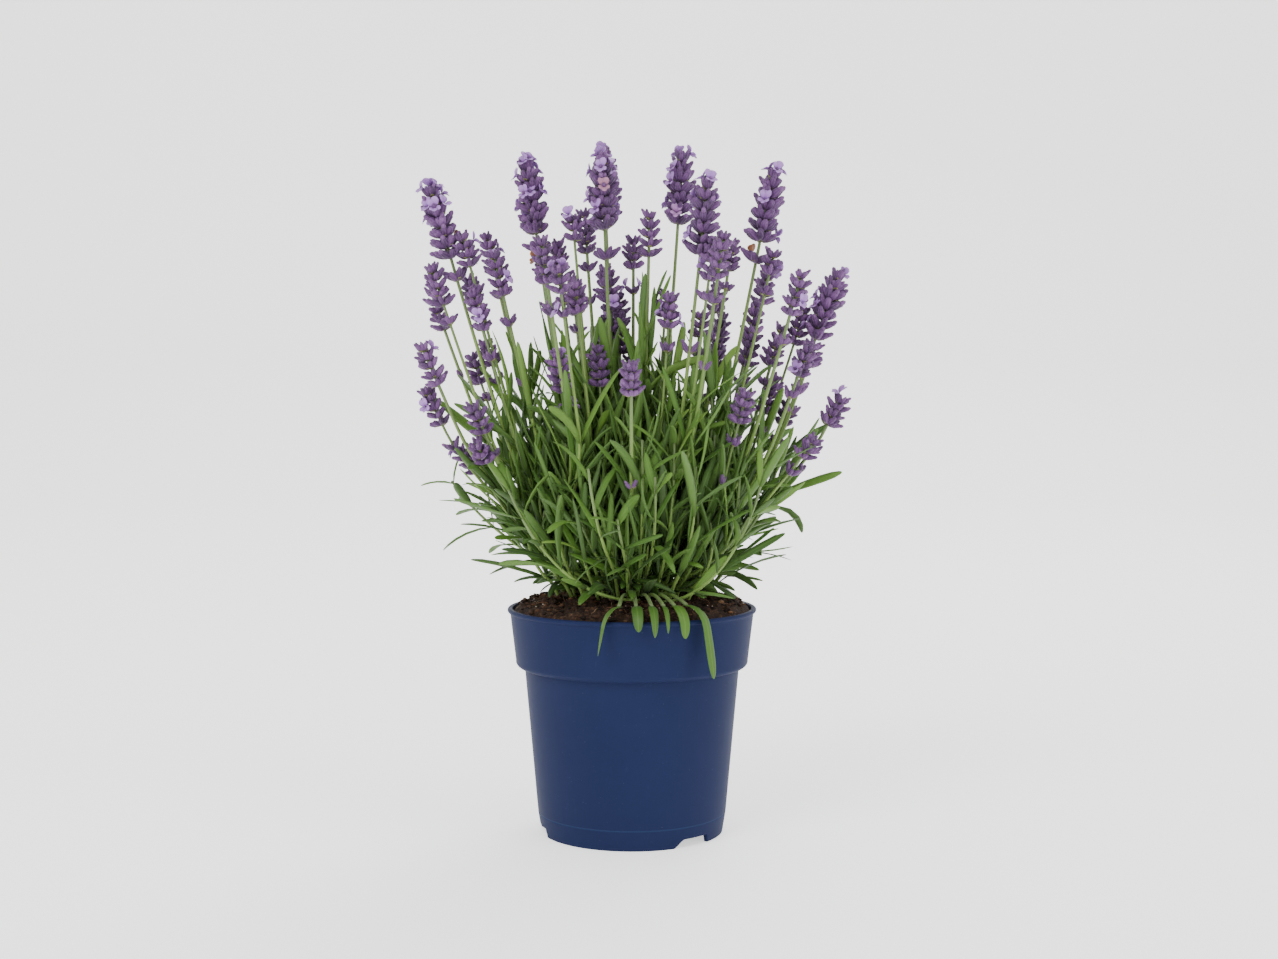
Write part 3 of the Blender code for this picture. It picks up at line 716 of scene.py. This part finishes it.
def head_from_node(name):
    """A head's foot, direction and length, from the long axis of its solid."""
    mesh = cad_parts[name].data
    points = np.empty(len(mesh.vertices) * 3, np.float32)
    mesh.vertices.foreach_get("co", points)
    points = np.unique(points.reshape(-1, 3).round(6), axis=0).astype(float)
    middle = points.mean(0)
    axis = np.linalg.svd(points - middle, full_matrices=False)[2][0]
    axis = axis * np.sign(axis[2])
    reach = (points - middle) @ axis
    return middle + axis * reach.min(), axis, float(reach.max() - reach.min())


def read_heads():
    """Every packed head, with its branch, its aim and whether it leads."""
    heads = []
    number = 0
    for branch in range(1, BRANCH_COUNT + 1):
        for lead in (True,) if branch in LONE_BRANCHES else (True, False):
            number += 1
            node = f"flower_spike_{number:02d}"
            foot, axis, length = head_from_node(node)
            aim = foot[:2] / spread(foot[2])
            lead_aim = aim if lead else heads[-1]["aim"]
            heads.append({"node": node, "branch": branch, "foot": foot, "axis": axis, "length": length,
                          "aim": aim, "lead_aim": lead_aim})
    return heads


def more_heads(heads, wanted):
    """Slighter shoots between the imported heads, each kept where it clears every other head."""
    taken = [head["foot"] + head["axis"] * head["length"] / 2 for head in heads]
    added = []
    while len(added) < wanted:
        parent = heads[RNG.integers(len(heads))]
        turn = RNG.uniform(0, 2 * np.pi)
        aim = parent["aim"] + RNG.uniform(0.010, 0.021) * np.array((math.cos(turn), math.sin(turn)))
        end = parent["foot"][2] - RNG.uniform(-0.002, 0.055)
        foot = np.array((*(aim * spread(end)), end))
        path = stem_path(aim, parent["lead_aim"], end, POT_HEIGHT + FORK_HEIGHT)
        axis = unit(path[-1] - path[-2])
        length = RNG.choice((0.013, 0.017, 0.021))
        middle = foot + axis * length / 2
        inside = np.all(np.abs(foot[:2]) < (0.100, 0.074)) and end > POT_HEIGHT + 0.07
        if inside and np.linalg.norm(np.array(taken) - middle, axis=1).min() > 0.0118:
            taken.append(middle)
            added.append({"node": None, "branch": 0, "foot": path[-1], "axis": axis, "length": length,
                          "aim": aim, "lead_aim": parent["lead_aim"]})
    return added


def whorl_parts(foot, axis, length, bloom, lower):
    """Calyces of one head as arrays of base, direction, outward direction and length.

    Whorls stack up the axis, and the lower ones stand apart below the head, with fewer calyces.
    """
    spacing = 0.0050 if bloom else 0.0043
    count = max(3, round(length / spacing))
    around = int(RNG.integers(9, 12) if bloom else RNG.integers(7, 9))
    rows = [(share, around) for share in (np.arange(count) + 0.10) / count]
    rows += [(-drop / length, number) for drop, number in lower]
    places = np.concatenate([np.full(number, share) for share, number in rows])
    turn = np.concatenate([row * 0.9 + np.arange(number) * 2 * np.pi / number
                           for row, (_, number) in enumerate(rows)])
    turn = turn + RNG.uniform(-0.2, 0.2, len(turn))
    across, through = square_to(axis, np.array((0.0, -1.0, 0.0)))
    radial = np.cos(turn)[:, None] * across + np.sin(turn)[:, None] * through
    tilt = np.interp(places, (-1.0, 0, 0.7, 1), (38, 60, 46, 12)) + RNG.uniform(-9, 9, len(turn))
    tilt = np.radians(tilt)[:, None]
    direction = unit(axis * np.cos(tilt) + radial * np.sin(tilt))
    jitter = RNG.uniform(-0.0005, 0.0005, len(turn))
    base = foot + axis * (places * length + jitter)[:, None] + radial * 0.0006
    long = (0.0076 if bloom else 0.0056) * RNG.uniform(0.85, 1.1, len(turn))
    long *= np.interp(places, (-1.0, 0, 0.6, 1), (0.85, 1.0, 1.0, 0.62))
    return base, direction, radial, long


def lower_whorls():
    """Whorls that stand apart below a head: how far down and how many calyces, often none."""
    rows = []
    if RNG.uniform() < 0.55:
        rows.append((RNG.uniform(0.009, 0.016), 6))
    if RNG.uniform() < 0.35:
        rows.append((RNG.uniform(0.026, 0.050), 2))
    return rows


CALYX = ((0, 0.45), (0.14, 0.88), (0.42, 1.08), (0.72, 1.0), (0.93, 0.80), (1.0, 0.52))
BUD = ((0, 0.55), (0.30, 0.95), (0.70, 0.85), (1.0, 0.30))


def make_heads(heads, paints):
    """Each head: whorls of calyces with buds, its bracts, and open flowers, most of them on blooms."""
    open_bases, open_ways, open_ups, open_shades = [], [], [], []
    bract_bases, bract_ways, bract_ups, bract_lengths = [], [], [], []
    for number, head in enumerate(heads, 1):
        bloom = head["length"] > 0.030
        base, way, radial, long = whorl_parts(head["foot"], head["axis"], head["length"], bloom,
                                              lower_whorls())
        radius = long * 0.245
        calyces = pods(base, way, long, radius, CALYX)
        tone = np.clip(RNG.normal(0.46, 0.20, len(base)) + RNG.normal(0, 0.08), 0, 1)
        replaced = (head["node"],) if head["node"] else ()
        closed_tubes(f"head_{number:02d}_calyces", calyces, tone, paints["calyx"], replaced)
        budded = RNG.uniform(size=len(base)) < 0.6
        buds = pods((base + way * long[:, None] * 0.88)[budded], way[budded], long[budded] * 0.42,
                    radius[budded] * 0.72, BUD, 6)
        tones = RNG.uniform(0.35, 0.9, budded.sum())
        closed_tubes(f"head_{number:02d}_buds", buds, tones, paints["calyx"])
        high = np.clip((base - head["foot"]) @ head["axis"] / head["length"], 0, 1)
        chance = 0.06 + 0.18 * high if bloom else 0.015
        opened = RNG.uniform(size=len(base)) < chance
        mouth = base + way * long[:, None]
        open_bases.append(mouth[opened])
        open_ways.append(unit(way[opened] + 0.35 * radial[opened]))
        open_ups.append(np.broadcast_to(head["axis"], mouth[opened].shape))
        open_shades.append(RNG.uniform(size=opened.sum()))
        every = slice(0, None, 4)
        bract_bases.append(base[every] - head["axis"] * 0.0008)
        bract_ways.append(unit(way[every] + 0.5 * radial[every]))
        bract_ups.append(np.broadcast_to(head["axis"], base[every].shape))
        bract_lengths.append(long[every] * 0.72)
    make_flowers(*(np.concatenate(x) for x in (open_bases, open_ways, open_ups, open_shades)), paints)
    base, way, up, long = (np.concatenate(x) for x in (bract_bases, bract_ways, bract_ups, bract_lengths))
    rings = blades(base, way, up, long, long * 0.62, np.full(len(base), 0.3), 0.3, 5, 6, 0.10,
                   (0.35, 0.6, 2.2, 0.9))
    closed_tubes("whorl_bracts", rings, RNG.uniform(size=len(base)), paints["bract"])


def make_flowers(base, way, up, shade, paints):
    """Open flowers: five petals round each mouth, two longer above and three shorter below."""
    across, through = square_to(way, up)
    petals, tones = [], []
    for turn, size in ((1.12, 1.15), (2.02, 1.15), (3.75, 0.85), (4.71, 0.95), (5.67, 0.85)):
        outward = math.cos(turn) * across + math.sin(turn) * through
        direction = unit(way * 0.85 + outward * 0.85)
        length = 0.0041 * size * RNG.uniform(0.85, 1.15, len(base))
        petals.append(blades(base + outward * 0.0004, direction, way, length, length * 0.92,
                             RNG.uniform(0.2, 1.0, len(base)), 0.12, 5, 6, 0.07, (0.5, 0.7, 5.0, 0.6)))
        tones.append(shade)
    rings, tones = np.concatenate(petals), np.concatenate(tones)
    closed_tubes("open_flowers", rings, tones, paints["petal"])


def make_stems(heads, shoots, paints):
    """The stems: each branch's in one piece that replaces its node, then the slighter shoots'."""
    for branch in range(1, BRANCH_COUNT + 1):
        own = [head for head in heads if head["branch"] == branch]
        paths = []
        for number, head in enumerate(own):
            start = CROWN_TOP - 0.001 if number == 0 else POT_HEIGHT + FORK_HEIGHT
            paths.append(headed_path(head, start))
        paths = np.array(paths)
        rings = rods(paths, stem_radii(paths), 8, 0.09)
        tone = RNG.uniform(0.1, 0.9, len(paths))
        closed_tubes(f"branch_{branch:02d}_stems", rings, tone, paints["stem"],
                     (f"branch_{branch:02d}",))
    paths = np.array(shoots)
    rings = rods(paths, stem_radii(paths) * 0.82, 8, 0.09)
    closed_tubes("slighter_stems", rings, RNG.uniform(0.1, 0.9, len(paths)), paints["stem"])


def stem_radii(paths):
    """A stem's radius along its stations, tapering by a third."""
    taper = np.linspace(1.0, 0.66, paths.shape[1])
    return np.broadcast_to(STEM_RADIUS * taper, paths.shape[:2])


def leafy_shoots(count):
    """Flowerless shoots that fill the plant: one even oval tuft, taller near the middle.

    Each rises from its own place in the compost, follows the spread, and bows outward on the way.
    """
    shoots = []
    for number in range(count):
        outward = math.sqrt((number + 0.5) / count)
        turn = number * GOLDEN_TURN
        heading = np.array((math.cos(turn), math.sin(turn)))
        aim = outward * heading * TUFT + RNG.uniform(-0.006, 0.006, 2)
        end = POT_HEIGHT + TUFT_TOP - TUFT_FALL * outward ** 2 + RNG.uniform(-0.040, 0.012)
        heights = np.linspace(SOIL_EDGE + 0.002, end, PATH_POINTS)
        bow = SHOOT_BOW * outward * np.sin(np.pi * SHARES) + RNG.uniform(-0.003, 0.003)
        flat = spread(heights)[:, None] * aim + bow[:, None] * heading
        shoots.append(np.column_stack((flat, heights)))
        RNG.uniform()  # one spare draw, which keeps every later draw the same
    return shoots


def sprawling_shoots(count):
    """Low shoots that leave the tuft's foot almost level and curve upwards, all the way round."""
    shoots = []
    for number in range(count):
        turn = number * GOLDEN_TURN + RNG.uniform(-0.25, 0.25)
        start = RNG.uniform(0.006, 0.022)
        rise = np.radians(RNG.uniform(12, 34) + (RNG.uniform(52, 80) - 20) * SHARES ** 1.3)
        sway = turn + RNG.uniform(-0.5, 0.5) * SHARES
        step = RNG.uniform(0.055, 0.100) / (PATH_POINTS - 1)
        ahead = np.stack((np.cos(sway) * np.cos(rise), np.sin(sway) * np.cos(rise), np.sin(rise)), -1)
        place = np.array((start * math.cos(turn), start * math.sin(turn), CROWN_TOP + 0.001))
        path = place + np.concatenate(([[0, 0, 0]], np.cumsum(ahead[:-1] * step, axis=0)))
        shoots.append(path)
        RNG.uniform()  # one spare draw, which keeps every later draw the same
    return shoots


# Four control points, above the rim's height, for each of the two long shoots at the front.
FRONT_SHOOTS = (
    ((0.012, -0.030, 0.006), (0.030, -0.052, 0.006), (0.055, -0.056, 0.026), (0.066, -0.046, 0.074)),
    ((0.004, -0.034, 0.007), (-0.024, -0.046, 0.008), (-0.047, -0.048, 0.028), (-0.064, -0.042, 0.070)),
)


def front_shoots():
    """Two long bright shoots that lie low at the front and curve up to either side, as Bezier curves."""
    along = SHARES[:, None]
    shoots = []
    for route in FRONT_SHOOTS:
        first, second, third, last = np.array(route) + (0, 0, POT_HEIGHT)
        path = (first * (1 - along) ** 3 + 3 * second * along * (1 - along) ** 2
                + 3 * third * along ** 2 * (1 - along) + last * along ** 3)
        shoots.append(path)
    return shoots


def leaf_sites(paths, low, high, spacing, upright):
    """Opposite pairs of leaf bases up each path, each pair turned a quarter from the last."""
    bases, ways, ups, shares = [], [], [], []
    for path in paths:
        steps = np.concatenate(([0], np.cumsum(np.linalg.norm(np.diff(path, axis=0), axis=1))))
        marks = np.arange(low + RNG.uniform(0, spacing), steps[-1] * high, spacing)
        point = np.stack([np.interp(marks, steps, path[:, k]) for k in range(3)], -1)
        tangent = np.stack([np.interp(marks, steps, unit(np.gradient(path, axis=0))[:, k])
                            for k in range(3)], -1)
        across, through = square_to(unit(tangent), np.broadcast_to((0.0, -1.0, 0.0), point.shape))
        turn = RNG.uniform(0, np.pi) + np.arange(len(marks)) * np.pi / 2
        turn = turn + RNG.uniform(-0.35, 0.35, len(marks))
        for half in (0, np.pi):
            out = np.cos(turn + half)[:, None] * across + np.sin(turn + half)[:, None] * through
            tilt = np.radians(upright + RNG.uniform(-10, 14, len(marks)))[:, None]
            ways.append(unit(tangent * np.cos(tilt) + out * np.sin(tilt)))
            ups.append(tangent)
            bases.append(point)
            shares.append(marks / steps[-1])
    return tuple(np.concatenate(x) for x in (bases, ways, ups, shares))


def leaf_piece(name, sites, length, width, paint, curl):
    """A piece of leaves on their sites, less those that would cross the pot, the compost or the box."""
    base, way, up, share = sites
    count = len(base)
    long = RNG.uniform(*length, count) * np.interp(share, (0, 0.25, 0.75, 1), (0.8, 1.0, 0.95, 0.7))
    wide = RNG.uniform(*width, count)
    curls = RNG.normal(*curl, count)
    twist = RNG.normal(0, 0.9, count)
    rings = blades(base, way, up, long, wide, curls, RNG.uniform(0.1, 0.4), twist=twist)
    outward = np.hypot(rings[..., 0], rings[..., 1])
    compost = soil_height(rings[..., :2]) + 0.0002
    floor = np.where(outward > SOIL_RADIUS - 0.002, POT_HEIGHT + 0.0015, compost)
    low, high = np.array(CAD_BOX[0])[:2] - LEAF_REACH, np.array(CAD_BOX[1])[:2] + LEAF_REACH
    inside = np.all((rings[..., :2] > low) & (rings[..., :2] < high), axis=(1, 2, 3))
    clear = np.all(rings[..., 2] > floor, axis=(1, 2)) & inside
    # painted light: leaves higher up and further from the middle get a paler tone, and inner low ones a
    # darker one
    painted_light = 0.30 * (base[:, 2] - 0.18) / 0.08 + 0.9 * (np.hypot(base[:, 0], base[:, 1]) - 0.035)
    tone = np.clip(RNG.normal(0.50, 0.20, count) + painted_light, 0, 1)
    closed_tubes(name, rings[clear], tone[clear], paint)


# Each run of leaves: the first pair's height up its stem, the last as a share of it, the spacing and
# the tilt in degrees, then the range of lengths, the range of widths, and the curl and its spread.
LEAF_RUNS = {
    "flower_stem_leaves": (0.020, 0.58, 0.022, 20, (0.030, 0.050), (0.0030, 0.0050), (0.20, 0.36)),
    "inner_shoot_leaves": (0.010, 1.0, 0.015, 14, (0.036, 0.060), (0.0030, 0.0052), (0.20, 0.36)),
    "outer_shoot_leaves": (0.012, 1.0, 0.017, 18, (0.030, 0.052), (0.0026, 0.0046), (0.20, 0.36)),
    "axil_leaves": (0.012, 0.9, 0.027, 38, (0.012, 0.024), (0.0016, 0.0028), (0.20, 0.36)),
    "low_shoot_leaves": (0.010, 1.0, 0.016, 36, (0.024, 0.042), (0.0028, 0.0048), (0.40, 0.50)),
}


def make_leaves(heads, extra, shoots, low_shoots, paints):
    """Leaves up the flower stems and the shoots, short ones in their axils, and rim leaves."""
    inner, outer = shoots[:len(shoots) // 2], shoots[len(shoots) // 2:]
    stems = [stem_path(h["aim"], h["lead_aim"], h["foot"][2], CROWN_TOP) for h in heads + extra]
    paths = dict(zip(LEAF_RUNS, (stems, inner, outer, inner + outer, low_shoots)))
    for name, (low, high, spacing, tilt, length, width, curl) in LEAF_RUNS.items():
        sites = leaf_sites(paths[name], low, high, spacing, tilt)
        leaf_piece(name, sites, length, width, paints["leaf"], curl)
    make_foot_leaves(paints["leaf"])
    make_rim_leaves(paints)


def make_foot_leaves(paint):
    """Broad leaves round the foot of the plant, which rise a little and arch down to the compost."""
    turn = np.arange(FOOT_LEAVES) * GOLDEN_TURN
    start = RNG.uniform(0.008, 0.034, FOOT_LEAVES)
    ahead = np.stack((np.cos(turn), np.sin(turn), np.zeros(FOOT_LEAVES)), -1)
    base = ahead * start[:, None]
    base[:, 2] = soil_height(base[:, :2]) + RNG.uniform(0.003, 0.009, FOOT_LEAVES)
    way = unit(ahead + np.array((0, 0, 1)) * RNG.uniform(0.15, 0.9, (FOOT_LEAVES, 1)))
    up = np.broadcast_to((0.0, 0.0, 1.0), way.shape)
    share = np.full(FOOT_LEAVES, 0.5)
    leaf_piece("foot_leaves", (base, way, up, share), (0.020, 0.034), (0.0036, 0.0058), paint, (0.75, 0.25))


# Leaves that hang over the rim at the front: turn from the right and swing from straight outward in
# degrees, length, width, bend, twist and tone.
RIM_LEAVES = (
    (-95, -34, 0.032, 0.0042, 1.44, 0.9, 0.50),
    (-88, 5, 0.0195, 0.0056, 1.50, 0.6, 0.30),
    (-80, -4, 0.0225, 0.0050, 1.46, -0.9, 0.40),
    (-69, 10, 0.0225, 0.0050, 1.75, 0.9, 0.52),
    (-63, 30, 0.044, 0.0060, 1.56, 0.30, 0.45),
    (-74, -6, 0.0200, 0.0032, 1.60, -0.9, 0.45),
)
RIM_LEAF_START = 0.0565
RIM_LEAF_HEIGHT = 0.0066
RIM_LEAF_BEND = 0.018
RIM_LEAF_RISE = 0.16
RIM_STALK_START = 0.024
RIM_STALK_HEIGHT = 0.0080
RIM_STALK_RADIUS = 0.0009


def make_rim_leaves(paints):
    """The few long leaves that fold over the rim and hang down outside the pot, with their stalks."""
    turn, swing, length, width, bend, twist, tone = np.array(RIM_LEAVES).T
    turn, swing = np.radians(turn), np.radians(turn + swing)
    ahead = np.stack((np.cos(turn), np.sin(turn), np.zeros(len(turn))), -1)
    base = ahead * RIM_LEAF_START + (0, 0, POT_HEIGHT + RIM_LEAF_HEIGHT)
    way = unit(np.stack((np.cos(swing), np.sin(swing), np.full(len(turn), RIM_LEAF_RISE)), -1))
    up = np.broadcast_to((0.0, 0.0, 1.0), way.shape)
    rings = blades(base, way, up, length, width, bend, 0.15, 19, 10, twist=twist,
                   early=RIM_LEAF_BEND / length)
    closed_tubes("rim_leaves", rings, tone, paints["leaf"])
    along = np.linspace(0, 1, 9)[:, None]
    start = ahead * RIM_STALK_START + (0, 0, POT_HEIGHT + RIM_STALK_HEIGHT)
    paths = start[:, None] + (base + way * 0.002 - start)[:, None] * along
    paths[..., 2] += 0.003 * np.sin(np.pi * along[:, 0])
    rings = rods(paths, np.full(paths.shape[:2], RIM_STALK_RADIUS), 8, 0.09)
    closed_tubes("rim_leaf_stalks", rings, tone, paints["stem"])


# ---------------------------------------------------------------- stage

def make_stage():
    """A pale floor that sweeps up behind, soft studio lights and the camera at the front."""
    along = np.array((-3.0, -1.0, 1.2, 1.7, 2.1, 2.3, 2.35, 2.35))
    rise = np.array((0.0, 0.0, 0.0, 0.06, 0.28, 0.65, 1.2, 4.0))
    across = np.linspace(-4, 4, 9)
    grid = np.stack(np.broadcast_arrays(across[:, None], along, rise), -1)
    index = np.arange(grid.shape[0] * grid.shape[1]).reshape(grid.shape[:2])
    quads = np.stack((index[:-1, :-1], index[1:, :-1], index[1:, 1:], index[:-1, 1:]), -1)
    mesh = bpy.data.meshes.new("studio_floor")
    mesh.from_pydata(grid.reshape(-1, 3), [], quads.reshape(-1, 4).tolist())
    mesh.polygons.foreach_set("use_smooth", np.ones(len(mesh.polygons), bool))
    paint = Paint("studio_floor", Roughness=0.9, Emission_Color=(1, 1, 1, 1), Emission_Strength=0.9)
    tint = paint.noise(0.6, 2)
    mesh.materials.append(paint.finish(paint.mix(tint, (0.86, 0.86, 0.86), (0.90, 0.90, 0.90))))
    floor = bpy.data.objects.new("studio_floor", mesh)
    bpy.context.scene.collection.objects.link(floor)

    world = bpy.data.worlds.new("studio")
    world.use_nodes = True
    world.node_tree.nodes["Background"].inputs[0].default_value = (1, 1, 1, 1)
    world.node_tree.nodes["Background"].inputs[1].default_value = 0.95
    bpy.context.scene.world = world
    for name, (place, size, power) in LIGHTS.items():
        light = bpy.data.lights.new(name, "AREA")
        light.size = size
        light.energy = power
        lamp = bpy.data.objects.new(name, light)
        lamp.location = place
        aim = Vector(LIGHTS_AIM) - lamp.location
        lamp.rotation_euler = aim.to_track_quat("-Z", "Y").to_euler()
        bpy.context.scene.collection.objects.link(lamp)


def make_camera():
    """The camera in front of the plant, at the height of its foliage and tipped down a little."""
    data = bpy.data.cameras.new("camera")
    data.lens = CAMERA_LENS
    data.sensor_width = 36
    camera = bpy.data.objects.new("camera", data)
    camera.location = CAMERA_PLACE
    camera.rotation_euler = (math.pi / 2 + CAMERA_PITCH, 0, 0)
    bpy.context.scene.collection.objects.link(camera)
    bpy.context.scene.camera = camera


def main():
    make_camera()
    make_stage()
    make_pot(plastic_paint())
    make_soil(soil_paint())
    make_litter(chip_paint(), speck_paint())
    wood = wood_paint()
    for name in CROWNS:
        make_crown(name, wood)
    paints = {"stem": stem_paint(), "leaf": leaf_paint(), "calyx": calyx_paint(),
              "petal": petal_paint(), "bract": bract_paint()}
    heads = read_heads()
    extra = more_heads(heads, EXTRA_HEADS)
    shoots = leafy_shoots(LEAFY_SHOOTS)
    low_shoots = sprawling_shoots(LOW_SHOOTS) + front_shoots()
    slighter = [headed_path(head, POT_HEIGHT + FORK_HEIGHT) for head in extra]
    make_stems(heads, slighter + shoots + low_shoots, paints)
    make_heads(heads + extra, paints)
    make_leaves(heads, extra, shoots, low_shoots, paints)


main()
